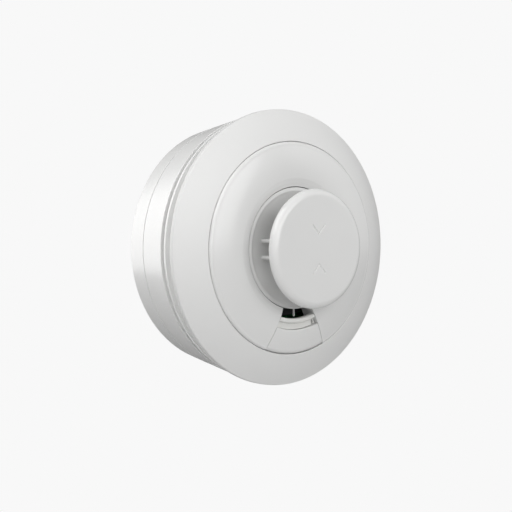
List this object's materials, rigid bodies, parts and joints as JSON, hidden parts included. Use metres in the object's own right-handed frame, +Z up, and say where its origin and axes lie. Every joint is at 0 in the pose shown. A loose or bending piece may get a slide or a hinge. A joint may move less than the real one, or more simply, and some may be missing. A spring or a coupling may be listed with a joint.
{
  "type": "heat detector",
  "caption": "Round wall or ceiling heat detector: tapered base, domed front cover, open sensor bowl under a cap on fins, test key at the bottom",
  "frame": {"origin": "centre of the back face that lies on the wall", "axes": "+Y into the wall, the front faces -Y; +Z up, towards the side away from the test key; +X to the right seen from the front"},
  "size_m": [0.126, 0.066, 0.126],
  "materials": {
    "white_abs": "semi-gloss moulded ABS",
    "base_abs": "semi-gloss moulded ABS, shared by the housing",
    "light_guide": "translucent white acrylic",
    "black_abs": "fine matt black ABS",
    "board": "green solder mask",
    "bead": "epoxy-coated thermistor bead",
    "grey_moulding": "grey moulded nylon",
    "piezo_brass": "bare brass disc with silvered ceramic",
    "tin": "tinned steel",
    "nickel": "nickel plated spring steel",
    "zinc": "zinc plated steel",
    "capacitor_sleeve": "dark sleeve",
    "led_red": "clear red epoxy",
    "chip": "moulded epoxy chip",
    "cell_jacket": "plain printed steel jacket, no marks"
  },
  "bodies": {
    "base": {"mounting_base": "base_abs"},
    "head": {"rear_housing": "white_abs", "middle_frame": "white_abs", "front_cover": "white_abs", "inner_cover": "white_abs", "sensor_bowl": "white_abs", "sensor_cap": "white_abs", "chamber_body": "black_abs", "chamber_lid": "black_abs", "sensor_post": "white_abs", "thermistor": "bead", "circuit_board": "board", "sounder_housing": "black_abs", "piezo_disc": "piezo_brass", "radio_module": "board", "radio_shield": "tin", "antenna": "nickel", "microcontroller": "chip", "capacitors": "capacitor_sleeve", "status_led": "led_red", "test_switch": "black_abs", "tamper_switch": "black_abs", "tamper_spring": "nickel", "battery_holder": "grey_moulding", "battery_1": "cell_jacket", "battery_2": "cell_jacket", "battery_3": "cell_jacket", "battery_contacts": "nickel", "battery_springs": "nickel", "power_pins": "tin", "board_screws": "zinc", "housing_screws": "zinc"},
    "key": {"test_key": "white_abs", "light_guide": "light_guide"},
    "switch": {"switch_plunger": "grey_moulding"},
    "tamper": {"tamper_plunger": "grey_moulding"}
  },
  "joints": [
    {"name": "head_twist", "type": "hinge", "parent": "base", "child": "head", "pos_m": [0, 0, 0], "axis": [0, -1, 0], "range_deg": [0, 20]},
    {"name": "key_press", "type": "hinge", "parent": "head", "child": "key", "pos_m": [0, -0.0456, -0.0426], "axis": [-1, 0, 0], "range_deg": [0, 3.5], "stiffness_Nm_per_rad": 0.5, "springref_deg": -3.44},
    {"name": "switch_press", "type": "slide", "parent": "head", "child": "switch", "axis": [0, 1, 0], "range_m": [0, 0.0004]},
    {"name": "tamper_press", "type": "slide", "parent": "head", "child": "tamper", "axis": [0, -1, 0], "range_m": [0, 0.0012], "stiffness_N_per_m": 150, "springref_m": -0.002, "deforming": ["tamper_spring"]}
  ],
  "couplings": [
    {"joint": "switch_press", "follows": "key_press", "m_per_rad": 0.0058}
  ]
}
